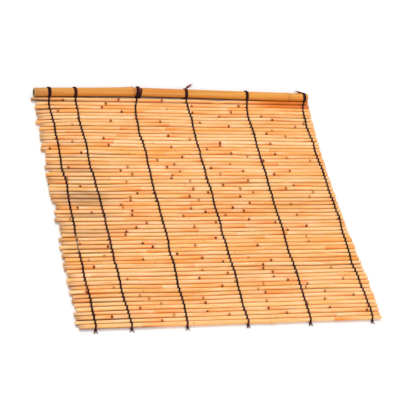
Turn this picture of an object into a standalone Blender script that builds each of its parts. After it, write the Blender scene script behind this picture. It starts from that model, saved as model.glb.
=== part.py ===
"""Bamboo screening: thin canes laid side by side, held by six lines of twine under a bamboo head pole.

The screen lies unrolled on the floor. X runs along the canes, +Y towards the head pole and +Z up. The
origin is at the middle of the outline, on the floor. All lengths are in metres.

The twined lines take the most care: each is one piece of twine, doubled and wound round the pole, whose
two strands pass over and under the canes by turns and twist round each other in the gaps between them.
"""

import math
import random

import bmesh
import bpy
from mathutils import Vector

# Head pole
POLE_LENGTH = 0.900
POLE_DIAMETER = 0.030
POLE_SIDES = 12
POLE_WALL = 0.0045
POLE_HOLLOW_DEPTH = 0.030
POLE_CROOK = 0.009
POLE_RIDGE_LENGTH = 0.0045
POLE_FLARE_LENGTH = 0.110

# Each node of the pole: its place, as a share of the length, and its ridge's height. The first is crooked.
POLE_NODES = ((0.350, 0.0020), (0.927, 0.0006))

# How a flare rises to its ridge: shares of its length still to go and of its height reached
POLE_FLARE = ((1.00, 0.00), (0.36, 0.28), (0.12, 0.65))

# Canes
CANE_COUNT = 60
CANE_WIDTH = 0.0113
CANE_SIDES = 6
CANE_TAPER = 0.0006
CANE_OVERHANG = 0.010
CANE_LEFT_SCATTER = 0.014
CANE_RIGHT_SCATTER = 0.003
WAIST_DEPTH = 0.014
WAIST_ROW = 25
CANE_NODE_GROWTH = 0.0009
CANE_NODE_REACH = 0.034
CANE_CROOK = 0.0010
CANE_LIFT = 0.0004
TOUCH_DEPTH = 0.0006

# Twine
TWINE_THICKNESS = 0.0020
TWINE_WIDTH = 0.0042
TURNS_ON_POLE = 2
SETTLING_ROWS = 2.5
CLEARANCE = 0.0003

# Each line of twine, as shares of the pole's length: on the pole, at the first cane and at the last
TWINE_SHARES = (
    (0.051, 0.045, 0.052),
    (0.142, 0.140, 0.162),
    (0.368, 0.342, 0.347),
    (0.540, 0.536, 0.541),
    (0.766, 0.755, 0.751),
    (0.985, 0.966, 0.966),
)
WIDE_GAPS = (1, 2, 3, 4)
SEED = 7

POLE_RADIUS = POLE_DIAMETER / 2
CANE_RADIUS = CANE_WIDTH / 2
POLE_STEP = 2 * math.pi / POLE_SIDES
CANE_STEP = 2 * math.pi / CANE_SIDES
STRAND_SHIFT = (TWINE_WIDTH + CLEARANCE) / 2
TURN_ADVANCE = TWINE_WIDTH + CLEARANCE

# Heights: the flat undersides of the twine lie on the floor, below the canes and below the pole
STRAND_HEIGHT = CANE_RADIUS * math.cos(CANE_STEP / 2) + CLEARANCE + TWINE_THICKNESS / 2
CANE_Z = STRAND_HEIGHT + TWINE_THICKNESS / 2
WINDING_HEIGHT = POLE_RADIUS * math.cos(POLE_STEP / 2) + CLEARANCE + TWINE_THICKNESS / 2
WINDING_RADIUS = WINDING_HEIGHT / math.cos(POLE_STEP / 2)
POLE_Z = WINDING_HEIGHT + TWINE_THICKNESS / 2

# Spacing: the twine keeps to the sides of the canes, and fills the gap between one cane and the next
STITCH_RADIUS = STRAND_HEIGHT / math.cos(CANE_STEP / 2)
STITCH_SHOULDER = STITCH_RADIUS * math.sin(CANE_STEP / 2)
CANE_PITCH = 2 * STITCH_RADIUS
CANES_LENGTH = (CANE_COUNT - 1) * CANE_PITCH

# The first cane is as close to the pole as the strand between them allows, which rises clear of the turns
POLE_TO_FIRST_CANE = POLE_Z + CLEARANCE + TWINE_THICKNESS / 2 / math.cos(CANE_STEP / 2) + STITCH_SHOULDER

# Outline: from the back of the pole's crooked node to the bend of the twine in front of the last cane
NODE_REACH = POLE_CROOK + (POLE_RADIUS + POLE_NODES[0][1]) * math.cos(POLE_STEP / 2)
BEND_REACH = CANE_Z / math.cos(CANE_STEP / 2)
SCREEN_LENGTH = NODE_REACH + POLE_TO_FIRST_CANE + CANES_LENGTH + BEND_REACH
POLE_Y = SCREEN_LENGTH / 2 - NODE_REACH
FIRST_CANE_Y = POLE_Y - POLE_TO_FIRST_CANE
POLE_RIGHT = (POLE_LENGTH + CANE_OVERHANG) / 2
POLE_LEFT = POLE_RIGHT - POLE_LENGTH
CANE_LEFT = POLE_LEFT - CANE_OVERHANG

ACROSS = Vector((1, 0, 0))
ALONG = Vector((0, 1, 0))
UP = Vector((0, 0, 1))


def clear_scene():
    for old in list(bpy.data.objects):
        bpy.data.objects.remove(old, do_unlink=True)


def material(name, colour, roughness):
    made = bpy.data.materials.new(name)
    made.use_nodes = True
    shader = made.node_tree.nodes["Principled BSDF"]
    shader.inputs["Base Color"].default_value = (*colour, 1)
    shader.inputs["Roughness"].default_value = roughness
    shader.inputs["Metallic"].default_value = 0
    return made


def placed(name, form, finish):
    """The object of a finished form."""
    bmesh.ops.recalc_face_normals(form, faces=form.faces)
    mesh = bpy.data.meshes.new(name)
    form.to_mesh(mesh)
    form.free()
    mesh.materials.append(finish)
    made = bpy.data.objects.new(name, mesh)
    bpy.context.collection.objects.link(made)
    return made


def rod(name, rings, finish):
    """A body skinned over rings of corners, with both ends filled."""
    form = bmesh.new()
    loops = [[form.verts.new(corner) for corner in ring] for ring in rings]
    for near, far in zip(loops, loops[1:]):
        for i, corner in enumerate(near):
            form.faces.new((near[i - 1], corner, far[i], far[i - 1]))
    form.faces.new(loops[0])
    form.faces.new(loops[-1])
    return placed(name, form, finish)


def hoop(name, rings, finish):
    """A closed hoop skinned over rings of corners.

    Each side is split along its shorter diagonal, which keeps the stretches that twist at full thickness.
    """
    form = bmesh.new()
    loops = [[form.verts.new(corner) for corner in ring] for ring in rings]
    for near, far in zip(loops, loops[1:] + loops[:1]):
        for i, corner in enumerate(near):
            before, beyond, beside = near[i - 1], far[i], far[i - 1]
            if (before.co - beyond.co).length < (corner.co - beside.co).length:
                form.faces.new((before, corner, beyond))
                form.faces.new((before, beyond, beside))
            else:
                form.faces.new((before, corner, beside))
                form.faces.new((corner, beyond, beside))
    return placed(name, form, finish)


def shade_round(made, angle):
    """Shades the long sides as one round surface and keeps the rims sharp."""
    made.data.shade_smooth()
    made.data.set_sharp_from_angle(angle=math.radians(angle))


def section(middle, radius, sides):
    """Corners of a regular section across X, with a flat underneath and on top."""
    step = 2 * math.pi / sides
    angles = [(i + 0.5) * step - math.pi / 2 for i in range(sides)]
    return [middle + radius * (ALONG * math.cos(a) + UP * math.sin(a)) for a in angles]


def from_left(share):
    """The place across the screen of a share of the pole's length."""
    return POLE_LEFT + share * POLE_LENGTH


def pole_axis(x):
    """The middle of the pole: straight from each end to the crooked node, which is set back from the canes."""
    node = from_left(POLE_NODES[0][0])
    end = POLE_LEFT if x < node else POLE_RIGHT
    return Vector((x, POLE_Y + POLE_CROOK * (x - end) / (node - end), POLE_Z))


def head_pole(finish):
    """A bamboo culm, hollow inside its two open ends, that flares towards the ridge of each node.

    Half of a flare lifts the culm's axis, so that the ridge stays clear of the floor.
    """
    left_hollow, right_hollow = POLE_LEFT + POLE_HOLLOW_DEPTH, POLE_RIGHT - POLE_HOLLOW_DEPTH
    growths = [(POLE_LEFT, 0)]
    for share, ridge in POLE_NODES:
        node = from_left(share)
        growths += [(node - to_go * POLE_FLARE_LENGTH, reached * ridge) for to_go, reached in POLE_FLARE]
        growths += [(node, ridge), (node + POLE_RIDGE_LENGTH, 0)]
    growths.append((POLE_RIGHT, 0))
    bore = POLE_RADIUS - POLE_WALL
    rings = [section(pole_axis(x), bore, POLE_SIDES) for x in (left_hollow, POLE_LEFT)]
    for x, growth in growths:
        rings.append(section(pole_axis(x) + UP * growth / 2, POLE_RADIUS + growth, POLE_SIDES))
    rings += [section(pole_axis(x), bore, POLE_SIDES) for x in (POLE_RIGHT, right_hollow)]
    shade_round(rod("head_pole", rings, finish), 40)


def right_end(row):
    """The edge on the right: it draws in a little at the waist, halfway down the screen."""
    from_waist = (row - WAIST_ROW) / WAIST_ROW
    return POLE_RIGHT - WAIST_DEPTH * max(0, 1 - from_waist**2)


def node_place(gap, share):
    """The place of a cane's node: a share of the free stretch between two neighbouring lines of twine."""
    margin = CANE_NODE_REACH + STRAND_SHIFT + TWINE_WIDTH
    start = from_left(max(TWINE_SHARES[gap])) + margin
    end = from_left(min(TWINE_SHARES[gap + 1])) - margin
    return start + share * (end - start)


class Cane:
    """A tapering six-sided cane, thicker at its node."""

    def __init__(self, row, gap, dice):
        self.axis = ALONG * (FIRST_CANE_Y - row * CANE_PITCH) + UP * CANE_Z
        self.left = CANE_LEFT + dice.random() * CANE_LEFT_SCATTER * min(row, 1)
        self.right = right_end(row) - dice.random() * CANE_RIGHT_SCATTER
        self.left_radius, self.right_radius = dice.sample((CANE_RADIUS, CANE_RADIUS - CANE_TAPER), 2)
        self.node = node_place(gap, dice.random())

    def radius(self, x):
        share = (x - self.left) / (self.right - self.left)
        return self.left_radius + share * (self.right_radius - self.left_radius)

    def section(self, x):
        return section(self.axis + ACROSS * x, self.radius(x), CANE_SIDES)

    def node_radius(self):
        return self.radius(self.node) + CANE_NODE_GROWTH

    def body(self, name, crook, finish):
        """The solid: at its crooked node the axis is set over towards the last cane."""
        node_middle = self.axis + ACROSS * self.node + UP * CANE_LIFT - ALONG * crook
        rings = [
            self.section(self.left),
            self.section(self.node - CANE_NODE_REACH),
            section(node_middle, self.node_radius(), CANE_SIDES),
            self.section(self.node + CANE_NODE_REACH),
            self.section(self.right),
        ]
        return rod(name, rings, finish)


def cane_pair(number, dice, finish):
    """Two neighbouring canes: the first is so crooked at its node that it touches the second there."""
    first_gap, second_gap = dice.sample(WIDE_GAPS, 2)
    first = Cane(2 * number, first_gap, dice)
    second = Cane(2 * number + 1, second_gap, dice)
    touching = CANE_PITCH + TOUCH_DEPTH - first.node_radius() - second.radius(first.node)
    pair = first.body(f"cane_pair_{number + 1:02d}", touching, finish)
    guide = second.body("second_cane", CANE_CROOK, finish)
    guide.hide_render = True
    guide.display_type = "WIRE"
    joined = pair.modifiers.new("second cane", "BOOLEAN")
    joined.operation = "UNION"
    joined.solver = "EXACT"
    joined.object = guide
    shade_round(pair, 65)


def line_place(line, row):
    """Where a line of twine runs at a row: from its tie on the pole it soon settles to a straight track."""
    on_pole, first, last = map(from_left, TWINE_SHARES[line])
    track = first + (last - first) * row / (CANE_COUNT - 1)
    return track + (on_pole - first) * math.exp(-(row + 1) / SETTLING_ROWS)


def strand(line, over_even_rows):
    """One strand from the first cane to the last, over and under the canes by turns.

    It goes down on the left of the other strand and comes up on the right, so it crosses each cane on a
    slant. Each stop of its route is a point and the direction away from the cane or pole that it lies on.
    """
    stops = []
    for row in range(CANE_COUNT):
        outward = UP if (row % 2 == 0) == over_even_rows else -UP
        middle = Vector((line_place(line, row), FIRST_CANE_Y - row * CANE_PITCH, CANE_Z))
        slant = ALONG * STITCH_SHOULDER + ACROSS * STRAND_SHIFT * outward.z
        stops.append((middle + outward * STRAND_HEIGHT + slant, outward))
        stops.append((middle + outward * STRAND_HEIGHT - slant, outward))
    return stops


def winding(line):
    """The turns round the pole, from its front, over the top, to its underside and from right to left."""
    steps = TURNS_ON_POLE * POLE_SIDES - POLE_SIDES // 4
    middle = from_left(TWINE_SHARES[line][0])
    stops = []
    for i in range(steps + 1):
        angle = math.pi - (i + 0.5) * POLE_STEP
        outward = ALONG * math.cos(angle) + UP * math.sin(angle)
        axis = pole_axis(middle + (steps / 2 - i) / POLE_SIDES * TURN_ADVANCE)
        stops.append((axis + outward * WINDING_RADIUS, outward))
    return stops


def twine_route(line):
    """The whole loop: up one strand, round the pole, down the other strand and round the last cane."""
    up = strand(line, True)
    down = strand(line, False)
    in_front = FIRST_CANE_Y - CANES_LENGTH - STITCH_RADIUS
    bend = Vector((line_place(line, CANE_COUNT - 1), in_front, CANE_Z))
    return up[::-1] + winding(line) + down + [(bend, -ALONG)]


def twine_line(line, finish):
    """A three-sided section swept round the loop, mitred at each bend so that it keeps its thickness.

    The section's flat side faces away from what it lies on, so it turns by a sixth in each gap.
    """
    route = twine_route(line)
    edge = ACROSS * TWINE_WIDTH / 2
    rings = []
    for i, (point, outward) in enumerate(route):
        into = point - route[i - 1][0]
        out = route[(i + 1) % len(route)][0] - point
        into.x = out.x = 0
        heading = (into.normalized() + out.normalized()).normalized()
        side = ACROSS.cross(heading) / heading.dot(out.normalized())
        half = side * TWINE_THICKNESS / 2
        if side.dot(outward) > 0:
            rings.append([point - edge + half, point + edge + half, point - half])
        else:
            rings.append([point - edge - half, point + half, point + edge - half])
    hoop(f"twine_line_{line + 1}", rings, finish)


def build():
    clear_scene()
    dice = random.Random(SEED)
    pole_finish = material("pole_bamboo", (0.52, 0.31, 0.12), 0.45)
    cane_finish = material("cane", (0.70, 0.47, 0.29), 0.55)
    twine_finish = material("twine", (0.045, 0.028, 0.022), 0.9)
    head_pole(pole_finish)
    for number in range(CANE_COUNT // 2):
        cane_pair(number, dice, cane_finish)
    for line in range(len(TWINE_SHARES)):
        twine_line(line, twine_finish)


build()
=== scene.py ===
"""Looks of a bamboo screening mat: round natural canes, twisted twine and a bamboo head pole.

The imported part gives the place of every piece: each cane's ends, taper and crooked node, the track of
each line of twine and the outline of the pole. All lengths are in metres.
"""

import math
import random

import bmesh
import bpy
from mathutils import Matrix, Vector, noise


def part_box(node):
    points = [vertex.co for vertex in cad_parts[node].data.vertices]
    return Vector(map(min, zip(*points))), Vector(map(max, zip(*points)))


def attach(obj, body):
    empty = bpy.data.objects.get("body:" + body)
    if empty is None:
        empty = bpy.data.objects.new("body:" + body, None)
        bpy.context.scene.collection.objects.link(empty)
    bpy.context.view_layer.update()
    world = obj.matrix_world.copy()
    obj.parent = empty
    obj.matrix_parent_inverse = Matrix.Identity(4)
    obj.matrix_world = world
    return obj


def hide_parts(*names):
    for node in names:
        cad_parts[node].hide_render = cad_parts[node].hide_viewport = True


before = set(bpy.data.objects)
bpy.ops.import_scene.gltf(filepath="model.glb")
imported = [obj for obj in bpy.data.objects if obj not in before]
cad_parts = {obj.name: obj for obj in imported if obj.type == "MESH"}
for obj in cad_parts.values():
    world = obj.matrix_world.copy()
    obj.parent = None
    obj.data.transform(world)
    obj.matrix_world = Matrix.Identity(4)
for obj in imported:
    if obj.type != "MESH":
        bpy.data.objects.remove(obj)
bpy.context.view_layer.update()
dice = random.Random(11)

# The camera: where it stands, where it looks (degrees) and its lens (millimetres)
CAMERA_PLACE = (-1.4358, -2.6953, 3.2634)
AZIMUTH = 28.01
ELEVATION = 46.81
ROLL = -20.93
LENS = 135

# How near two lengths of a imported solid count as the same, how far everything stays above the floor,
# the least angle of a sharp edge, and the tint of a surface that has none
SAME = 1e-5
FLOOR_SKIN = 0.0001
SHARP_EDGE = math.radians(50)
PLAIN = (0, 0, 0, 0)

# Canes: shape. The edge is how far the corners of a packed cane lie from its axis.
CANE_EDGE = 0.00565
CANE_SIDES = 16
CANE_RING_STEP = 0.008
GIRTH = (1.06, 1.24)
UNEVEN = 0.025
UNEVEN_LENGTH = 0.10
COMMON_SWAY = 0.0032
COMMON_LENGTH = 0.21
COMMON_ROWS = 5.0
SWAY = 0.0010
SWAY_LENGTH = 0.28
RIPPLE = 0.00035
RIPPLE_LENGTH = 0.08
RISE_LENGTH = 0.13
STEADY_FIRST_ROWS = 4
STEADY_LAST_ROWS = 3
FIRST_CANE_SHIFT = 0.0031
FIRST_CANE_FOLLOW = 0.25
FAN = (0, 0.0042, 0.0044, 0.0104, 0.0096, 0.0087, 0.0077, 0.0066, 0.0055, 0.0044, 0.0033, 0.0022, 0.0011)
FAN_LENGTH = 0.075
THIN_END = 0.22
KNUCKLE_REACH = 0.034
KNUCKLE_GROWTH = 0.00045
KNUCKLE_LIFT = 0.0004
KNUCKLE_SHARPNESS = 1.6
KNUCKLE_ROUNDNESS = 1.5
CANE_CHAMFER = 0.94
CANE_BORE = 0.42
BORE_DEPTH = 0.012
RIM = 0.0003
CLEARANCE_STEPS = 120

# Canes: nodes, leaf sheaths and the scars of side shoots
INTERNODE = (0.12, 0.23)
NODE_MARGIN = 0.022
NODE_CLEARANCE = 0.008
NODE_RINGS = (-0.0062, -0.0042, -0.0026, -0.0014, -0.0005, 0.0003, 0.0012, 0.0022, 0.0034, 0.005)
NODE_KINDS = {
    "strong": {"weight": 0.46, "blush": (0.55, 1.0), "bloom": (0.3, 0.85), "dark": (0.85, 1.0)},
    "brown": {"weight": 0.29, "blush": (0.1, 0.35), "bloom": (0.1, 0.35), "dark": (0.55, 0.8)},
    "faint": {"weight": 0.25, "blush": (0.0, 0.08), "bloom": (0.0, 0.1), "dark": (0.1, 0.3)},
}
GROWING_RIGHT = 0.65
RIDGE_HEIGHT = (0.00018, 0.0004)
RIDGE_WIDTH = 0.0016
SWELL_PLACE = -0.004
SWELL_WIDTH = 0.003
GROOVE_DEPTH = 0.00012
GROOVE_PLACE = 0.0032
GROOVE_WIDTH = 0.0012
RELIEF_REACH = 0.012
SHEATH = 0.00024
BLUSH_LENGTH = (0.03, 0.15)
BLOOM_FADE = 0.05
RING_WIDTH = 0.0011
SCAR_WIDTH = 0.0026
HALO_WIDTH = 0.006
BUD_SIDES = 10
BUD_SIZE = (0.0018, 0.0032)
BUD_ANGLE = (1.75, 2.85)
BUDS_BELOW = 0.2
BUD_SHIFT = 0.0006
BUD_LENGTH = 1.15
BUD_RINGS = ((1, -0.0003), (0.85, 0.0002), (0.5, 0.0007))

# Canes: stains, grime and painted shade in the gaps, painted shadow in the wedges, the place and reach of
# the grey zone along X and Y, and the stretches along X in which grime with painted shade in the gaps and
# the painted orange shade of the lower sides get less from left to right
TIP_STAIN_LENGTH = 0.016
GRIME_AND_SHADE_LENGTH = 0.17
GRIME_AND_SHADE_FADE = (-0.42, -0.02)
WEDGE_LENGTH = 0.07
GREY_PLACE = (-0.36, 0.04)
GREY_REACH = (0.085, 0.17)
UNDER_LENGTH = 0.3
DEEP_TO_PALE = (-0.3, 0.15)

# Pole
POLE_SIDES = 40
POLE_RING_STEP = 0.006
POLE_BORE_SHARE = 0.78
POLE_HOLLOW_DEPTH = 0.030
POLE_SWAY = 0.0004
POLE_SWAY_LENGTH = 0.2
POLE_TAPER = 0.05
POLE_NODE_REACH = 0.0095
POLE_NODE_CLEARANCE = POLE_NODE_REACH + 0.0015
POLE_NODE_RINGS = 14
POLE_CROWDING = 0.6
POLE_SLACK = 0.985
POLE_RIDGE = 0.0004
POLE_RIDGE_WIDTH = 0.0014
POLE_GROOVE = 0.0005
POLE_GROOVE_PLACE = 0.006
POLE_GROOVE_WIDTH = 0.0022
POLE_CHAMFER = 0.97
POLE_RIM = 0.0005
POLE_BORE_EDGE = 0.0012
POLE_BORE_RIM = 1.03
POLE_BORE_BOTTOM = 0.95
POLE_RING_WIDTH = 0.0018
POLE_SHADE_WIDTH = 0.012
POLE_WEATHER_LENGTH = 0.045
POLE_STREAK_LENGTH = 0.2

# Twine
TWINE_LINES = range(1, 7)
STRAND_SHIFT = 0.0005
WANDER = 0.0060
WANDER_ROWS = 6.5
SIDESTEP = 0.0030
SIDESTEP_ROWS = 2.7
ARC_START = math.radians(30)
ARC_STOP = math.radians(150)
FIRST_ARC_START = math.radians(60)
TWINE_LIFT = 0.0012
PLY_WIDTH = 0.0021
PLY_HEIGHT = 0.0012
PLY_SPREAD = 0.0012
PLY_RISE = 0.0006
PLY_SIDES = 6
TWIST = 0.0085
TWINE_STEP = 0.0015
TURN_ADVANCE = 0.0045
POLE_TURNS = 1.75
LUMPS = 0.35
LUMP_LENGTH = 0.013
STAIN_LENGTH = 0.05
KNOTS = {1: (41,), 2: (5, 38, 41), 3: (26, 28), 4: (22,), 5: (9, 47), 6: (33,)}
FADED_LINE = 1
FADED_ROWS = (38, 41)
FUZZ = 240
FUZZ_LENGTH = (0.0025, 0.0065)
FUZZ_GIRTH = 0.0001
FIBRE_SIDES = 3
FIBRE_STEPS = 4
FIBRE_CURL = 0.25
FIBRE_THINNING = 0.7
TAIL_ROOT = 0.0009
TAIL_SPREAD = 0.13
KNOT_STEPS = 36
KNOT_SIZE = 0.0010
KNOT_LIFT = 0.0022
KNOT_ANGLE = 2.3
STUB_LENGTH = (0.006, 0.011)
END_KNOT_SIZE = 0.0012
END_KNOT_GAP = 0.0035
END_KNOT_HEIGHT = 0.0040
POLE_KNOT_SIZE = 0.0021
POLE_KNOT_LIFT = 0.003

# Light: strength of the world and tone of the floor, and each lamp's azimuth and elevation in degrees,
# its power and its softness in degrees
WORLD_LIGHT = 0.62
FLOOR_TONE = 0.93
FLOOR_REACH = 6
FLOOR_DROP = 0.0003
KEY_LAMP = (-20, 64, 1.15, 14)
FILL_LAMP = (200, 38, 1.05, 60)

ACROSS = Vector((1, 0, 0))
ALONG = Vector((0, 1, 0))
UP = Vector((0, 0, 1))


def mix(near, far, share):
    return near + (far - near) * share


def clamp(value):
    return min(max(value, 0), 1)


def smooth(value, start, stop):
    """A soft step from 0 at the start to 1 at the stop."""
    share = clamp((value - start) / (stop - start))
    return share * share * (3 - 2 * share)


def peak(off, width):
    """A smooth peak of height 1 around zero."""
    return math.exp(-((off / width) ** 2))


def wave(x, seed, length):
    """A smooth random value from about -1 to 1 that changes along x over the given length."""
    return noise.noise(Vector((x / length, seed * 7.31, 3.7)))


def outward_at(angle):
    """The direction across X at an angle that runs from +Y over the top."""
    return ALONG * math.cos(angle) + UP * math.sin(angle)


def tilt_from(angle, middle):
    """The size of the turn between two angles."""
    return abs(math.remainder(angle - middle, 2 * math.pi))


class Form:
    """A mesh in the making: rings of corners, each with the marks and tints that its surface shows."""

    def __init__(self):
        self.corners = []
        self.faces = []
        self.values = {"marks": [], "tint": []}

    def ring(self, corners, marks, tints):
        start = len(self.corners)
        self.corners += corners
        self.values["marks"] += marks
        self.values["tint"] += tints
        return list(range(start, len(self.corners)))

    def skin(self, rings):
        for near, far in zip(rings, rings[1:]):
            for i, corner in enumerate(near):
                self.faces.append((near[i - 1], corner, far[i], far[i - 1]))

    def closed(self, rings):
        self.skin(rings)
        self.faces += [tuple(rings[0]), tuple(rings[-1])]

    def piece(self, name, finish, slot, node):
        mesh = bpy.data.meshes.new(name)
        mesh.from_pydata(self.corners, [], self.faces)
        for key, values in self.values.items():
            layer = mesh.attributes.new(key, "FLOAT_COLOR", "POINT")
            layer.data.foreach_set("color", [channel for value in values for channel in value])
        tidy = bmesh.new()
        tidy.from_mesh(mesh)
        bmesh.ops.recalc_face_normals(tidy, faces=tidy.faces)
        tidy.to_mesh(mesh)
        tidy.free()
        mesh.shade_smooth()
        mesh.set_sharp_from_angle(angle=SHARP_EDGE)
        mesh.materials.append(finish)
        made = bpy.data.objects.new(name, mesh)
        bpy.context.collection.objects.link(made)
        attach(made, "root")
        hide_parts(node)


def corners_of(name):
    return [corner.co.copy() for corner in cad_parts[name].data.vertices]


def ring_at(corners, x):
    """Middle and radius of the ring of corners at x."""
    ring = [corner for corner in corners if abs(corner.x - x) < SAME]
    middle = sum(ring, Vector()) / len(ring)
    return middle, max((corner - middle).length for corner in ring)


class Cane:
    """One round cane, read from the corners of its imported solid."""

    def __init__(self, corners, row, rows, pole):
        self.row = row
        self.pole = pole if row == 0 else None
        self.freedom = clamp(min(row / STEADY_FIRST_ROWS, (rows - 1 - row) / STEADY_LAST_ROWS))
        self.fan = FAN[row] if row < len(FAN) else 0
        self.left = min(corner.x for corner in corners)
        self.right = max(corner.x for corner in corners)
        left_middle, self.left_radius = ring_at(corners, self.left)
        self.right_radius = ring_at(corners, self.right)[1]
        self.y, self.z = left_middle.y, left_middle.z
        top = max(corner.z for corner in corners)
        tops = [corner for corner in corners if corner.z > top - SAME]
        self.knuckle = sum(corner.x for corner in tops) / len(tops)
        self.crook = self.y - sum(corner.y for corner in tops) / len(tops)
        if row == 0:
            self.y += FIRST_CANE_SHIFT
        self.girth = dice.uniform(*GIRTH)
        self.tint = tuple(dice.random() for _ in range(3))
        self.grey = dice.random()
        self.nodes = self.place_nodes()

    def place_nodes(self):
        """The crooked node and, an internode apart, the lesser ones on both sides of it."""
        places = [self.knuckle]
        while True:
            x = places[0] - dice.uniform(*INTERNODE)
            if x < self.left + NODE_MARGIN:
                break
            places.insert(0, x)
        while True:
            x = places[-1] + dice.uniform(*INTERNODE)
            if x > self.right - NODE_MARGIN:
                break
            places.append(x)
        flow = 1 if dice.random() < GROWING_RIGHT else -1
        return [self.make_node(x, flow) for x in places]

    def make_node(self, x, flow):
        """A node with a dark scar and a long blush, a brown one with a short blush, or a faint one."""
        weights = [kind["weight"] for kind in NODE_KINDS.values()]
        name = dice.choices(list(NODE_KINDS), weights)[0]
        kind = NODE_KINDS[name]
        return {
            "x": x,
            "flow": flow,
            "blush": dice.uniform(*BLUSH_LENGTH),
            "strength": dice.uniform(*kind["blush"]),
            "bloom": dice.uniform(*kind["bloom"]),
            "bud": dice.uniform(*BUD_ANGLE) + (math.pi if dice.random() < BUDS_BELOW else 0),
            "ridge": dice.uniform(*RIDGE_HEIGHT),
            "dark": dice.uniform(*kind["dark"]),
            "scarred": name != "faint",
        }

    def middle(self, x):
        """The axis: nearly straight, but for the crooked node and the natural bends of the cane."""
        bend = clamp(1 - abs(x - self.knuckle) / KNUCKLE_REACH) ** KNUCKLE_SHARPNESS
        common = noise.noise(Vector((x / COMMON_LENGTH, self.row / COMMON_ROWS, 9.1)))
        y = self.y - self.crook * bend - self.fan * math.exp((self.left - x) / FAN_LENGTH)
        y += self.freedom * COMMON_SWAY * common
        if self.pole:
            y += FIRST_CANE_FOLLOW * self.pole.bow(x)
        y += SWAY * wave(x, self.row, SWAY_LENGTH) + RIPPLE * wave(x, self.row + 0.3, RIPPLE_LENGTH)
        z = self.z + KNUCKLE_LIFT * bend + RIPPLE * wave(x, self.row + 0.6, RISE_LENGTH)
        return Vector((x, y, z))

    def radius(self, x):
        share = (x - self.left) / (self.right - self.left)
        thin = THIN_END * math.exp((self.left - x) / FAN_LENGTH) if self.row == 0 else 0
        growth = KNUCKLE_GROWTH * clamp(1 - abs(x - self.knuckle) / KNUCKLE_REACH) ** KNUCKLE_ROUNDNESS
        uneven = 1 + UNEVEN * wave(x, self.row + 0.9, UNEVEN_LENGTH)
        size = self.girth * uneven * (1 - thin)
        return size * mix(self.left_radius, self.right_radius, share) + growth

    def relief(self, x):
        """What the nodes and the leaf sheaths add to the radius."""
        added = 0
        for node in self.nodes:
            off = (x - node["x"]) * node["flow"]
            ridge = node["ridge"] + (KNUCKLE_GROWTH if node["x"] == self.knuckle else 0)
            if abs(off) < RELIEF_REACH:
                added += ridge * peak(off, RIDGE_WIDTH) + 0.5 * ridge * peak(off - SWELL_PLACE, SWELL_WIDTH)
                added -= GROOVE_DEPTH * peak(off - GROOVE_PLACE, GROOVE_WIDTH)
            if -node["blush"] < off < 0:
                added += SHEATH * node["strength"] * (1 + off / node["blush"])
        return added

    def marks(self, x, angle):
        """Blush under the sheaths, deeper on the lower sides as painted shade; bloom past a node, stronger
        on top as painted highlight; dark scars; brown grime and painted shade in the gaps; painted shadow
        behind and between the first canes.
        """
        tilt = tilt_from(angle, math.pi / 2)
        # How far the surface turns from the top: it deepens the blush as painted shade and weakens the
        # bloom, so the bloom is stronger on top as painted highlight
        low = smooth(tilt, 0.1, 1.2)
        blush = bloom = dark = 0
        for node in self.nodes:
            off = (x - node["x"]) * node["flow"]
            fade = 1 + off / node["blush"]
            if off <= 0 and fade > 0:
                blush = max(blush, node["strength"] * smooth(fade, 0, 1) * mix(0.2, 1, low))
            if off > 0:
                bloom = max(bloom, node["bloom"] * math.exp(-off / BLOOM_FADE) * mix(0.75, 0.35, low))
            facing = math.cos(angle - node["bud"])
            ring = node["dark"] * 0.3 * peak(off, RING_WIDTH)
            scar = node["dark"] * clamp(2.4 * facing - 1.2) * peak(off, SCAR_WIDTH)
            dark = max(dark, ring, scar)
            halo = 0.8 * node["scarred"] * clamp(1.6 * facing - 0.4)
            blush = max(blush, halo * node["dark"] * peak(off, HALO_WIDTH))
        if self.row < 2:
            blush = max(blush, smooth(x, 0.2, 0.34))
        tips = 0.7 * math.exp((self.left - x) / TIP_STAIN_LENGTH) * (self.tint[2] > 0.4)
        shadow = self.wedge(x, angle)
        # The weather mark: stains on the tips, the grey zone, grime and painted shade in the gaps, and
        # painted shadow behind and between the first canes
        weather = max(tips, self.grime_and_shade(x) * smooth(tilt, 0.95, 1.45), self.greyness(x, tilt), shadow)
        return (blush, bloom, clamp(dark), clamp(weather))

    def grime_and_shade(self, x):
        """Dark brown in the gap beside the cane, grime and painted shade: more of it towards the left."""
        fainter = mix(-0.10, 0.60, smooth(x, *GRIME_AND_SHADE_FADE))
        return clamp(3.2 * (wave(x, self.row + 0.45, GRIME_AND_SHADE_LENGTH) - fainter))

    def wedge(self, x, angle):
        """Painted shadow behind the first cane, in the wedges between the first three and on their right
        ends.
        """
        back, front = smooth(math.cos(angle), 0.2, 0.7), smooth(-math.cos(angle), 0.3, 0.8)
        left = 1.6 * math.exp((self.left - x) / WEDGE_LENGTH)
        right = 0.3 * smooth(x, 0.24, 0.38) if self.row < 2 else 0
        if self.row == 0:
            return max(back, front * clamp(left), right)
        return max(back * clamp(left), right) if self.row < 3 else 0

    def greyness(self, x, tilt):
        """Grey weathering on some whole canes in the zone where the mat has been wet, and painted shade on
        their lower sides there.
        """
        zone = peak(x - GREY_PLACE[0], GREY_REACH[0]) * peak(self.y - GREY_PLACE[1], GREY_REACH[1])
        return zone * (0.55 * (self.grey > 0.6) + 0.7 * smooth(tilt, 0.9, 1.5))

    def under(self, x, angle):
        """Painted shade: how deep the orange of the sheltered lower sides is, less of it towards the right,
        and on the first cane also on its back side under the pole.
        """
        paler = mix(1.0, 0.35, smooth(x, *DEEP_TO_PALE))
        depth = clamp(0.6 + wave(x, self.row + 0.2, UNDER_LENGTH)) * paler
        behind = self.row == 0 and math.cos(angle) > 0
        return depth * smooth(tilt_from(angle, math.pi / 2), 0.2 if behind else 0.55, 1.45)

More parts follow.
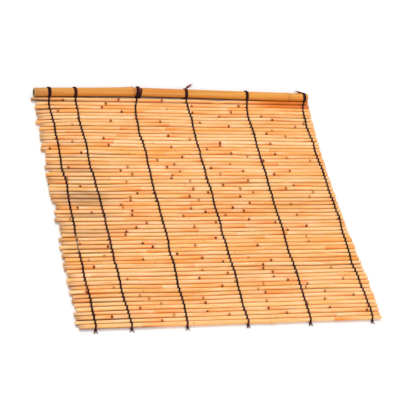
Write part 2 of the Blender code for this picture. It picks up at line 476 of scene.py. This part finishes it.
    def clearance(self, other):
        """The least distance between the skins of two neighbouring canes."""
        start, stop = max(self.left, other.left), min(self.right, other.right)
        shares = [i / CLEARANCE_STEPS for i in range(CLEARANCE_STEPS + 1)]
        places = [self.knuckle, other.knuckle] + [mix(start, stop, share) for share in shares]
        return min(
            (self.middle(x) - other.middle(x)).length - self.radius(x) - other.radius(x) for x in places
        )

    def stations(self):
        """Places of the rings: evenly along the cane, and closer at each node."""
        count = round((self.right - self.left) / CANE_RING_STEP)
        places = [mix(self.left, self.right, i / count) for i in range(1, count)]
        for node in self.nodes:
            places = [x for x in places if abs(x - node["x"]) > NODE_CLEARANCE]
            places += [node["x"] + off * node["flow"] for off in NODE_RINGS]
        return [self.left + RIM] + sorted(places) + [self.right - RIM]

    def ring(self, form, x, radius, marks=None, towards=0):
        """A ring at x, or moved along the cane from there, with the marks of the skin or its own."""
        angles = [2 * math.pi * i / CANE_SIDES for i in range(CANE_SIDES)]
        middle = self.middle(x) + ACROSS * towards
        corners = [middle + radius * outward_at(angle) for angle in angles]
        for corner in corners:
            corner.z = max(corner.z, FLOOR_SKIN)
        shown = [marks or self.marks(x, angle) for angle in angles]
        # The fourth tint is the painted orange shade of the lower sides
        tints = [(*self.tint, 0 if marks else self.under(x, angle)) for angle in angles]
        return form.ring(corners, shown, tints)

    def mouth(self, form, x, inward):
        """The cut end, from its rim to the bottom of its bore, which is painted dark as shade."""
        radius = self.radius(x)
        cut = (0, 0.4, 0.08, 0.2)
        inside = (0, 0, 1, 0)
        return [
            self.ring(form, x, radius * CANE_CHAMFER, cut),
            self.ring(form, x, radius * CANE_BORE, cut, inward * RIM / 2),
            self.ring(form, x, radius * CANE_BORE, inside, inward * BORE_DEPTH),
        ]

    def add_to(self, form):
        body = [self.ring(form, x, self.radius(x) + self.relief(x)) for x in self.stations()]
        start = self.mouth(form, self.left, 1)
        end = self.mouth(form, self.right, -1)
        form.closed(start[::-1] + body + end)
        for node in self.nodes:
            if node["scarred"]:
                self.add_bud(form, node)

    def add_bud(self, form, node):
        """The dark scar of a side shoot: a low bump beside the ridge of the node."""
        radius = self.radius(node["x"]) + self.relief(node["x"])
        middle = self.middle(node["x"]) - ACROSS * BUD_SHIFT * node["flow"]
        size = mix(*BUD_SIZE, node["dark"])
        rings = []
        for reach, height in BUD_RINGS:
            corners = []
            for i in range(BUD_SIDES):
                turn = 2 * math.pi * i / BUD_SIDES
                outward = outward_at(node["bud"] + size * reach * math.sin(turn) / radius)
                along = ACROSS * BUD_LENGTH * size * reach * math.cos(turn)
                corners.append(middle + along + outward * (radius + height))
                corners[-1].z = max(corners[-1].z, FLOOR_SKIN)
            marks = (0, 0, node["dark"], 0)
            rings.append(form.ring(corners, [marks] * BUD_SIDES, [(*self.tint, 0)] * BUD_SIDES))
        form.closed(rings)


def all_canes(pole):
    """The pairs of canes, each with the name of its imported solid."""
    names = sorted(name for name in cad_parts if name.startswith("cane_pair"))
    pitch = (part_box(names[0])[1].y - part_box(names[1])[1].y) / 2
    pairs = []
    for number, name in enumerate(names):
        corners = corners_of(name)
        between = max(corner.y for corner in corners) - CANE_EDGE - pitch / 2
        behind = [corner for corner in corners if corner.y > between]
        before = [corner for corner in corners if corner.y < between]
        rows = 2 * len(names)
        pairs.append((name, Cane(behind, 2 * number, rows, pole), Cane(before, 2 * number + 1, rows, pole)))
    return pairs


def settle(canes):
    """Let every cane at most touch its neighbour: its crook gives way first, then the girth of both."""
    for cane, other in zip(canes, canes[1:]):
        if cane.row % 2 == 0:
            cane.crook += min(0, cane.clearance(other))
    for cane, other in zip(canes, canes[1:]):
        thinner = min(0, cane.clearance(other)) / 2 / CANE_EDGE
        cane.girth += thinner
        other.girth += thinner


class Pole:
    """The head pole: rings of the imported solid, with a smooth skin between them."""

    def __init__(self):
        corners = corners_of("head_pole")
        places = sorted({round(corner.x, 5) for corner in corners})
        self.left, self.right = places[0], places[-1]
        outline = []
        for x in places:
            ring = [corner for corner in corners if abs(corner.x - x) < 2 * SAME]
            middle = sum(ring, Vector()) / len(ring)
            outline.append((x, middle.y, middle.z, max((corner - middle).length for corner in ring)))
        widest = max(radius for *_, radius in outline)
        self.outline = [stop for stop in outline if stop[3] > 0.8 * widest]
        self.nodes = [
            stop[0]
            for before, stop, after in zip(self.outline, self.outline[1:], self.outline[2:])
            if stop[3] > before[3] + SAME and stop[3] > after[3] + SAME
        ]

    def at(self, x):
        """Place of the axis along Y, its height and the radius at x."""
        for near, far in zip(self.outline, self.outline[1:]):
            if near[0] <= x <= far[0]:
                share = (x - near[0]) / (far[0] - near[0])
                return [mix(a, b, share) for a, b in zip(near[1:], far[1:])]
        return self.outline[-1][1:]

    def bow(self, x):
        """How far the crooked culm stands off the line between its ends."""
        return self.at(x)[0] - self.outline[0][1]

    def taper(self, x):
        """How much thinner the culm is towards its right end."""
        return POLE_TAPER * smooth(x, self.nodes[0], self.right)

    def middle(self, x):
        y, z, radius = self.at(x)
        lower = radius * self.taper(x)
        return Vector((x, y - lower + POLE_SWAY * wave(x, 91, POLE_SWAY_LENGTH), z - lower))

    def radius(self, x):
        radius = self.at(x)[2] * (POLE_SLACK - self.taper(x))
        for node in self.nodes:
            ridge = POLE_RIDGE * peak(x - node, POLE_RIDGE_WIDTH)
            radius += ridge - POLE_GROOVE * peak(x - node - POLE_GROOVE_PLACE, POLE_GROOVE_WIDTH)
        return radius

    def marks(self, x):
        """Shade round the nodes, and weathering towards the left end."""
        rings = [
            0.3 * peak(x - node, POLE_RING_WIDTH) + 0.15 * peak(x - node, POLE_SHADE_WIDTH)
            for node in self.nodes
        ]
        return (clamp(max(rings)), 0, 0, 0.75 * math.exp((self.left - x) / POLE_WEATHER_LENGTH))

    def tints(self, x, angle):
        """Dark brown along the underside, grime and painted shade; deep orange above it on the lower half,
        painted shade; and a paler stretch on the right.
        """
        tilt = tilt_from(angle, -math.pi / 2)
        bow = 1 - 0.5 * peak(x - self.nodes[0], 0.06)
        grime_and_shade = (1 - smooth(tilt, 1.2, 1.72)) * bow * mix(1.0, 0.6, smooth(x, 0.05, 0.3))
        orange = (1 - smooth(tilt, 1.3, 2.2)) * clamp(0.55 + 0.8 * wave(x, 93, POLE_STREAK_LENGTH))
        return (grime_and_shade, orange, smooth(x, 0.0, 0.3), 0)

    def ring(self, form, x, radius, marks=None, towards=0):
        angles = [2 * math.pi * i / POLE_SIDES for i in range(POLE_SIDES)]
        middle = self.middle(x) + ACROSS * towards
        corners = [middle + radius * outward_at(angle) for angle in angles]
        shown = [marks or self.marks(x)] * POLE_SIDES
        return form.ring(corners, shown, [self.tints(x, angle) for angle in angles])

    def mouth(self, form, x, inward):
        """The sawn end, from its rim to the first wall inside the culm; the bore is painted dark as shade.
        """
        radius = self.radius(x)
        bore = radius * POLE_BORE_SHARE
        cut, dark = (0, 1, 0, 0), (0, 0, 1, 0)
        return [
            self.ring(form, x, radius * POLE_CHAMFER, cut),
            self.ring(form, x, bore * POLE_BORE_RIM, cut),
            self.ring(form, x, bore, dark, inward * POLE_BORE_EDGE),
            self.ring(form, x, bore * POLE_BORE_BOTTOM, dark, inward * POLE_HOLLOW_DEPTH),
        ]

    def make(self, finish):
        form = Form()
        count = round((self.right - self.left) / POLE_RING_STEP)
        places = [mix(self.left, self.right, i / count) for i in range(1, count)]
        for node in self.nodes:
            places = [x for x in places if abs(x - node) > POLE_NODE_CLEARANCE]
            shares = [2 * i / POLE_NODE_RINGS - 1 for i in range(POLE_NODE_RINGS + 1)]
            places += [node + POLE_NODE_REACH * share * abs(share) ** POLE_CROWDING for share in shares]
        places = [self.left + POLE_RIM] + sorted(places) + [self.right - POLE_RIM]
        body = [self.ring(form, x, self.radius(x)) for x in places]
        start, end = self.mouth(form, self.left, 1), self.mouth(form, self.right, -1)
        form.closed(start[::-1] + body + end)
        form.piece("culm", finish, "pole_bamboo", "head_pole")


class Line:
    """One line of twine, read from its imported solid: its place beside each cane and on the pole."""

    def __init__(self, number, canes, pole):
        self.number = number
        self.canes = canes
        self.pole = pole
        self.dice = random.Random(number)
        self.form = Form()
        corners = corners_of(f"twine_line_{number}")
        self.pitch = canes[1].y - canes[2].y
        self.places = []
        for cane in canes:
            near = [corner.x for corner in corners if abs(corner.y - cane.y) < self.pitch * 0.45]
            self.places.append((min(near) + max(near)) / 2 + self.wander(cane.row))
        on_pole = [corner.x for corner in corners if corner.y > canes[0].y + self.pitch]
        self.on_pole = (min(on_pole) + max(on_pole)) / 2

    def wander(self, row):
        """How far the line strays sideways at a cane: a slow drift and a small step."""
        slow = smooth(row, 0, 5) * WANDER * wave(row, self.number + 0.5, WANDER_ROWS)
        return slow + SIDESTEP * wave(row, self.number, SIDESTEP_ROWS)

    def arc(self, row, side):
        """Points over or under a cane, with the slant across it."""
        cane = self.canes[row]
        start = FIRST_ARC_START if row == 0 and side == 1 else ARC_START
        steps = max(2, round((ARC_STOP - start) * CANE_EDGE / TWINE_STEP))
        slant = side * STRAND_SHIFT * (1 + 0.9 * wave(row, self.number + 20, 1.7))
        stops = []
        for i in range(steps + 1):
            angle = mix(start, ARC_STOP, i / steps)
            turned = clamp((angle - ARC_START) / (ARC_STOP - ARC_START))
            x = self.places[row] + slant * math.cos(math.pi * turned)
            outward = outward_at(side * angle)
            stops.append((cane.middle(x) + outward * (cane.radius(x) + TWINE_LIFT), outward))
        return stops

    def between(self, near, far):
        """Points on the straight stretch from one stop to the next."""
        steps = max(2, round((far[0] - near[0]).length / TWINE_STEP))
        made = []
        for i in range(1, steps):
            share = i / steps
            outward = near[1].lerp(far[1], share)
            if outward.length < 0.3:
                outward = ACROSS
            made.append((near[0].lerp(far[0], share), outward.normalized()))
        return made

    def strand(self, over_even_rows):
        """Arcs over and under the canes by turns, with straight stretches through the gaps."""
        stops = []
        for row in range(len(self.canes)):
            arc = self.arc(row, 1 if (row % 2 == 0) == over_even_rows else -1)
            if stops:
                stops += self.between(stops[-1], arc[0])
            stops += arc
        return stops

    def winding(self, turns=POLE_TURNS, advance=TURN_ADVANCE, lift=TWINE_LIFT, start=165):
        """Turns round the pole, from right to left, with the angle in degrees at which they start."""
        steps = round(turns * 2 * math.pi * self.pole.radius(self.on_pole) / TWINE_STEP)
        stops = []
        for i in range(steps + 1):
            share = i / steps
            x = self.on_pole + (0.5 - share) * turns * advance
            outward = outward_at(math.radians(start) - share * turns * 2 * math.pi)
            stops.append((self.pole.middle(x) + outward * (self.pole.radius(x) + lift), outward))
        return stops

    def faded_at(self, point):
        """How pale the twine is: one line has lost its dye along a few canes."""
        if self.number != FADED_LINE:
            return 0
        start, stop = FADED_ROWS
        row = (self.canes[0].y - point.y) / self.pitch
        return smooth(row, start - 1, start) * (1 - smooth(row, stop, stop + 1))

    def lay(self, route, red=0.0, size=1.0):
        """Two plies twisted round each other along a route of points and outward directions."""
        for ply in (0, math.pi):
            length = 0
            rings = []
            for i, (point, outward) in enumerate(route):
                before, after = route[max(i - 1, 0)][0], route[min(i + 1, len(route) - 1)][0]
                length += (point - before).length
                heading = (after - before).normalized()
                side = heading.cross(outward).normalized()
                lift = side.cross(heading).normalized()
                twist = 2 * math.pi * length / TWIST + ply
                centre = point + side * size * PLY_SPREAD * math.cos(twist)
                centre += lift * size * PLY_RISE * math.sin(twist)
                faded = self.faded_at(point)
                uneven = 1 + LUMPS * wave(length, self.number + ply, LUMP_LENGTH)
                lump = size * uneven * (1 - 0.35 * faded)
                corners = []
                for k in range(PLY_SIDES):
                    turn = 2 * math.pi * k / PLY_SIDES
                    around = side * PLY_WIDTH * math.cos(turn) + lift * PLY_HEIGHT * math.sin(turn)
                    corner = centre + lump * around
                    corner.z = max(corner.z, FLOOR_SKIN)
                    corners.append(corner)
                stain = clamp(red + 0.5 * wave(length, self.number + 40, STAIN_LENGTH))
                marks = (stain, 0.7 * faded, 0, 0)
                rings.append(self.form.ring(corners, [marks] * PLY_SIDES, [PLAIN] * PLY_SIDES))
            self.form.closed(rings)

    def fibre(self, root, reach, girth, red, sag=0.0):
        """A loose fibre from its root: it curls, thins to its tip and may sag."""
        curl = Vector([self.dice.uniform(-1, 1) for _ in range(3)]) * reach.length * FIBRE_CURL
        rings = []
        for i in range(FIBRE_STEPS + 1):
            share = i / FIBRE_STEPS
            centre = root + reach * share + curl * share * (1 - share) - UP * sag * share * share
            heading = (reach + curl * (1 - 2 * share)).normalized()
            side = heading.cross(UP if abs(heading.z) < 0.9 else ACROSS).normalized()
            lift = side.cross(heading)
            corners = []
            for k in range(FIBRE_SIDES):
                turn = 2 * math.pi * k / FIBRE_SIDES
                around = side * math.cos(turn) + lift * math.sin(turn)
                corner = centre + girth * (1 - FIBRE_THINNING * share) * around
                corner.z = max(corner.z, FLOOR_SKIN)
                corners.append(corner)
            marks = (red * mix(0.3, 1, share), 0, 0, 0)
            rings.append(self.form.ring(corners, [marks] * FIBRE_SIDES, [PLAIN] * FIBRE_SIDES))
        self.form.closed(rings)

    def tail(self, root, reach, red, fibres, girth, sag=0.0):
        """A cut end of the twine, frayed into a bundle of fibres."""
        for _ in range(fibres):
            aside = Vector([self.dice.uniform(-1, 1) for _ in range(3)])
            spread = reach * self.dice.uniform(0.7, 1.05) + aside * reach.length * TAIL_SPREAD
            self.fibre(root + aside * TAIL_ROOT, spread, girth, red, sag)

    def knot(self, centre, size):
        """A small hard knot: the twine in a closed trefoil."""
        route = []
        for i in range(KNOT_STEPS + 1):
            turn = 2 * math.pi * i / KNOT_STEPS
            along = math.sin(turn) + 2 * math.sin(2 * turn)
            across = math.cos(turn) - 2 * math.cos(2 * turn)
            outward = (ACROSS * along + ALONG * across + UP).normalized()
            spot = ACROSS * along + ALONG * 0.8 * across - UP * 0.8 * math.sin(3 * turn)
            route.append((centre + size * spot, outward))
        self.lay(route, red=0.1, size=0.62)

    def tie_knots(self):
        """Knots where the twine was joined on, each beside a cane and with a short stub."""
        for row in KNOTS[self.number]:
            cane = self.canes[row]
            x = self.places[row]
            centre = cane.middle(x) + outward_at(KNOT_ANGLE) * (cane.radius(x) + KNOT_LIFT)
            self.knot(centre, KNOT_SIZE)
            reach = Vector((-self.dice.uniform(*STUB_LENGTH), -0.002, 0.0005))
            self.tail(centre, reach, red=0.25, fibres=6, girth=0.0006, sag=0.001)

    def tie_end(self, *strands):
        """The knot in front of the last cane, with two short ends on the floor."""
        cane = self.canes[-1]
        x = self.places[-1]
        centre = Vector((x, cane.y - cane.radius(x) - END_KNOT_GAP, END_KNOT_HEIGHT))
        for strand in strands:
            strand += self.between(strand[-1], (centre, UP)) + [(centre, UP)]
        self.knot(centre, END_KNOT_SIZE)
        for aside in (-1, 1):
            reach = Vector((aside * 0.006, -0.009, -0.001))
            self.tail(centre, reach, red=0.4, fibres=8, girth=0.0007, sag=0.003)

    def fray(self, route):
        """Short stray fibres all along the twine."""
        for _ in range(FUZZ):
            point, outward = self.dice.choice(route)
            aside = Vector([self.dice.uniform(-1, 1) for _ in range(3)])
            reach = (outward * 0.8 + aside).normalized() * self.dice.uniform(*FUZZ_LENGTH)
            self.fibre(point + outward * 0.0005, reach, FUZZ_GIRTH, self.dice.uniform(0.2, 0.9))

    def dress_pole(self):
        """What the lashing on the pole has besides its turns."""
        middle, radius = self.pole.middle(self.on_pole), self.pole.radius(self.on_pole)
        top = middle + UP * radius
        if self.number == 3:
            self.lay(self.winding(turns=1.3, advance=-0.013, lift=2.4 * TWINE_LIFT, start=200), red=0.1)
            loose = self.winding(turns=0.6, advance=0.016, lift=2.8 * TWINE_LIFT, start=130)
            self.lay(loose, red=0.8, size=0.9)
            self.knot(middle + outward_at(3.3) * (radius + POLE_KNOT_LIFT), POLE_KNOT_SIZE)
            self.tail(top, Vector((0.009, -0.003, 0.003)), red=1.0, fibres=10, girth=0.0009)
        if self.number == 4:
            root = top + Vector((-0.003, 0.004, 0.001))
            self.tail(root, Vector((0.028, 0.021, 0.004)), red=1.0, fibres=16, girth=0.0012)
        if self.number == 6:
            root = middle + outward_at(0.9) * radius + Vector((-0.004, 0, 0.002))
            self.tail(root, Vector((-0.024, 0.003, 0.001)), red=1.0, fibres=14, girth=0.0012)

    def make(self, finish):
        up, down, winding = self.strand(True), self.strand(False), self.winding()
        self.tie_end(up, down)
        up.reverse()
        route = up + self.between(up[-1], winding[0]) + winding + self.between(winding[-1], down[0]) + down
        self.lay(route)
        self.tie_knots()
        self.dress_pole()
        self.fray(route)
        self.form.piece(f"twine_{self.number}", finish, "twine", f"twine_line_{self.number}")


class Finish:
    """A material in the making: each call adds a node and gives the socket of its result."""

    def __init__(self, name, roughness, specular):
        self.material = bpy.data.materials.new(name)
        self.material.use_nodes = True
        self.tree = self.material.node_tree
        self.shader = self.tree.nodes["Principled BSDF"]
        self.shader.inputs["Roughness"].default_value = roughness
        self.shader.inputs["Specular IOR Level"].default_value = specular

    def node(self, kind, inputs, **settings):
        made = self.tree.nodes.new(kind)
        for key, value in settings.items():
            setattr(made, key, value)
        for key, value in inputs.items():
            if isinstance(value, bpy.types.NodeSocket):
                self.tree.links.new(value, made.inputs[key])
            else:
                made.inputs[key].default_value = value
        return made

    def noise(self, scale, detail=2.0, roughness=0.5):
        coordinates = self.node("ShaderNodeTexCoord", {}).outputs["Object"]
        place = self.node("ShaderNodeMapping", {"Vector": coordinates, "Scale": scale}).outputs["Vector"]
        inputs = {"Vector": place, "Scale": 1.0, "Detail": detail, "Roughness": roughness}
        return self.node("ShaderNodeTexNoise", inputs).outputs["Fac"]

    def values(self, name):
        source = self.node("ShaderNodeAttribute", {}, attribute_name=name)
        parts = self.node("ShaderNodeSeparateColor", {"Color": source.outputs["Color"]})
        return (*parts.outputs, source.outputs["Alpha"])

    def math(self, operation, a, b=0.0):
        return self.node("ShaderNodeMath", {0: a, 1: b}, operation=operation, use_clamp=True).outputs[0]

    def span(self, value, low, high, to_low=0.0, to_high=1.0):
        inputs = {"Value": value, "From Min": low, "From Max": high, "To Min": to_low, "To Max": to_high}
        return self.node("ShaderNodeMapRange", inputs, interpolation_type="SMOOTHSTEP").outputs[0]

    def blend(self, share, near, far):
        return self.node("ShaderNodeMix", {0: share, 6: near, 7: far}, data_type="RGBA").outputs[2]

    def link(self, socket, value):
        self.tree.links.new(value, self.shader.inputs[socket])

    def bump(self, height, strength, distance):
        inputs = {"Height": height, "Strength": strength, "Distance": distance}
        self.link("Normal", self.node("ShaderNodeBump", inputs).outputs["Normal"])


def colour(red, green, blue):
    """A colour from its values on a screen, 0 to 255."""

    def light(value):
        value /= 255
        return value / 12.92 if value <= 0.04045 else ((value + 0.055) / 1.055) ** 2.4

    return (light(red), light(green), light(blue), 1)


def cane_finish():
    finish = Finish("dry_cane", 0.42, 0.4)
    blush, bloom, dark, weather = finish.values("marks")
    warm, light, pink, under = finish.values("tint")
    fibre = finish.noise((9, 620, 620), 3.0, 0.6)
    mottle = finish.noise((26, 190, 190), 2.0)
    drift = finish.noise((4, 60, 60), 1.0)
    streak = finish.noise((14, 330, 330), 3.0, 0.65)
    base = finish.blend(finish.span(fibre, 0.3, 0.7), colour(250, 192, 112), colour(252, 209, 146))
    base = finish.blend(finish.span(warm, 0.3, 1.0, 0.0, 0.7), base, colour(250, 172, 72))
    base = finish.blend(finish.span(pink, 0.5, 1.0, 0.0, 0.5), base, colour(255, 212, 162))
    base = finish.blend(finish.span(drift, 0.45, 0.75, 0.0, 0.7), base, colour(240, 156, 50))
    base = finish.blend(finish.span(streak, 0.54, 0.70, 0.0, 0.7), base, colour(228, 132, 34))
    base = finish.blend(finish.span(streak, 0.48, 0.32, 0.0, 0.7), base, colour(255, 226, 198))
    # Cream bloom past the nodes, stronger on top of the canes as painted highlight
    base = finish.blend(finish.math("MULTIPLY", bloom, 0.85), base, colour(255, 230, 188))
    base = finish.blend(finish.span(light, 0.0, 1.0, 0.0, 0.15), base, colour(220, 130, 60))
    # Deeper orange on the lower sides: painted shade
    base = finish.blend(finish.math("MULTIPLY", under, 0.7), base, colour(242, 144, 50))
    orange = finish.blend(mottle, colour(232, 112, 8), colour(244, 140, 26))
    # Orange blush under the sheaths, deeper on the lower sides as painted shade
    base = finish.blend(finish.math("MULTIPLY", blush, 1.0), base, orange)
    # Dark brown of the weather mark: stains, grime and painted shade in the gaps, and painted shadow behind
    # and between the first canes
    spotted = finish.math("MULTIPLY", weather, finish.span(streak, 0.3, 0.6, 0.55, 1.0))
    base = finish.blend(finish.math("MULTIPLY", spotted, 0.9), base, colour(92, 48, 34))
    # Dark node scars and rings, and painted shade in the bores of the cut ends
    base = finish.blend(dark, base, colour(96, 34, 16))
    finish.link("Base Color", base)
    finish.link("Roughness", finish.span(fibre, 0.2, 0.8, 0.28, 0.44))
    finish.link("Specular IOR Level", finish.span(dark, 0.0, 0.6, 0.5, 0.05))
    finish.bump(fibre, 0.25, 0.0002)
    return finish.material


def pole_finish():
    finish = Finish("culm_skin", 0.40, 0.4)
    node, cut, dark, weather = finish.values("marks")
    grime_and_shade, low, pale, _ = finish.values("tint")
    fibre = finish.noise((5, 420, 420), 3.0, 0.6)
    streak = finish.noise((2.5, 110, 110), 2.0, 0.6)
    stripe = finish.noise((6, 240, 240), 2.0, 0.6)
    speck = finish.noise((60, 260, 260), 2.0)
    base = finish.blend(finish.span(fibre, 0.3, 0.7), colour(212, 140, 50), colour(222, 160, 76))
    base = finish.blend(finish.span(streak, 0.40, 0.62, 0.0, 0.85), base, colour(214, 124, 32))
    base = finish.blend(finish.span(stripe, 0.55, 0.75, 0.0, 0.6), base, colour(186, 104, 34))
    base = finish.blend(finish.math("MULTIPLY", pale, 0.35), base, colour(240, 166, 66))
    # Deeper orange on the lower half of the pole: painted shade
    base = finish.blend(finish.math("MULTIPLY", low, 0.7), base, colour(216, 112, 24))
    base = finish.blend(finish.span(speck, 0.64, 0.78, 0.0, 0.45), base, colour(158, 92, 36))
    # Dark brown along the underside: grime and painted shade
    base = finish.blend(finish.math("MULTIPLY", grime_and_shade, 0.93), base, colour(58, 22, 18))
    base = finish.blend(node, base, colour(146, 78, 26))
    spotted = finish.math("MULTIPLY", weather, finish.span(speck, 0.35, 0.65, 0.3, 1.0))
    base = finish.blend(spotted, base, colour(150, 104, 60))
    base = finish.blend(cut, base, colour(206, 160, 104))
    # Painted shade in the bores of the sawn ends
    base = finish.blend(dark, base, colour(46, 28, 18))
    finish.link("Base Color", base)
    finish.link("Roughness", finish.span(fibre, 0.2, 0.8, 0.32, 0.5))
    finish.bump(fibre, 0.2, 0.0003)
    return finish.material


def twine_finish():
    finish = Finish("dark_twine", 0.9, 0.15)
    red, faded, _, _ = finish.values("marks")
    fibre = finish.noise((900, 900, 900), 2.0)
    base = finish.blend(finish.span(fibre, 0.35, 0.75), colour(24, 8, 16), colour(56, 24, 34))
    base = finish.blend(red, base, colour(158, 76, 62))
    base = finish.blend(faded, base, colour(176, 140, 108))
    finish.link("Base Color", base)
    finish.bump(fibre, 0.4, 0.0003)
    return finish.material


def make_floor():
    mesh = bpy.data.meshes.new("floor")
    corners = [(x * FLOOR_REACH, y * FLOOR_REACH, 0) for x, y in ((-1, -1), (1, -1), (1, 1), (-1, 1))]
    mesh.from_pydata(corners, [], [(0, 1, 2, 3)])
    floor = bpy.data.objects.new("floor", mesh)
    bpy.context.collection.objects.link(floor)
    floor.location.z = -FLOOR_DROP
    finish = Finish("pale_floor", 0.9, 0.1)
    finish.shader.inputs["Base Color"].default_value = (FLOOR_TONE, FLOOR_TONE, FLOOR_TONE, 1)
    mesh.materials.append(finish.material)


def make_world():
    """A soft white world: dimmer where it lights the mat than where it is seen."""
    world = bpy.data.worlds.new("studio")
    bpy.context.scene.world = world
    world.use_nodes = True
    tree = world.node_tree
    tree.nodes.clear()
    path = tree.nodes.new("ShaderNodeLightPath")
    output = tree.nodes.new("ShaderNodeOutputWorld")
    background = tree.nodes.new("ShaderNodeBackground")
    seen = path.outputs["Is Camera Ray"]
    for name in ("Is Glossy Ray", "Is Transmission Ray"):
        either = tree.nodes.new("ShaderNodeMath")
        either.operation = "MAXIMUM"
        tree.links.new(seen, either.inputs[0])
        tree.links.new(path.outputs[name], either.inputs[1])
        seen = either.outputs[0]
    level = tree.nodes.new("ShaderNodeMapRange")
    level.inputs["To Min"].default_value = WORLD_LIGHT
    level.inputs["To Max"].default_value = 1.0
    tree.links.new(seen, level.inputs["Value"])
    tree.links.new(level.outputs[0], background.inputs["Strength"])
    background.inputs["Color"].default_value = (1, 1, 1, 1)
    tree.links.new(background.outputs[0], output.inputs["Surface"])


def make_lamp(name, azimuth, elevation, power, softness):
    """A distant soft lamp: the azimuth says where its light comes from, clockwise from +Y."""
    data = bpy.data.lights.new(name, "SUN")
    data.energy = power
    data.angle = math.radians(softness)
    lamp = bpy.data.objects.new(name, data)
    bpy.context.collection.objects.link(lamp)
    a, e = math.radians(azimuth), math.radians(elevation)
    towards = Vector((math.sin(a) * math.cos(e), math.cos(a) * math.cos(e), math.sin(e)))
    lamp.rotation_mode = "QUATERNION"
    lamp.rotation_quaternion = towards.to_track_quat("Z", "Y")


def make_camera():
    a, e, roll = math.radians(AZIMUTH), math.radians(ELEVATION), math.radians(ROLL)
    forward = Vector((math.sin(a) * math.cos(e), math.cos(a) * math.cos(e), -math.sin(e)))
    level = Vector((math.cos(a), -math.sin(a), 0))
    down = forward.cross(level)
    right = math.cos(roll) * level + math.sin(roll) * down
    up = math.sin(roll) * level - math.cos(roll) * down
    data = bpy.data.cameras.new("camera")
    data.lens = LENS
    data.sensor_width = 36
    camera = bpy.data.objects.new("camera", data)
    bpy.context.collection.objects.link(camera)
    turn = Matrix((right, up, -forward)).transposed().to_4x4()
    camera.matrix_world = Matrix.Translation(CAMERA_PLACE) @ turn
    bpy.context.scene.camera = camera


pole = Pole()
pairs = all_canes(pole)
canes = [cane for _, *both in pairs for cane in both]
settle(canes)
dry_cane, dark_twine = cane_finish(), twine_finish()
for name, first, second in pairs:
    form = Form()
    first.add_to(form)
    second.add_to(form)
    form.piece(name.replace("cane_pair", "canes"), dry_cane, "cane", name)
pole.make(pole_finish())
for number in TWINE_LINES:
    Line(number, canes, pole).make(dark_twine)

make_camera()
make_floor()
make_world()
make_lamp("key", *KEY_LAMP)
make_lamp("fill", *FILL_LAMP)
bpy.context.scene.view_settings.view_transform = "Standard"
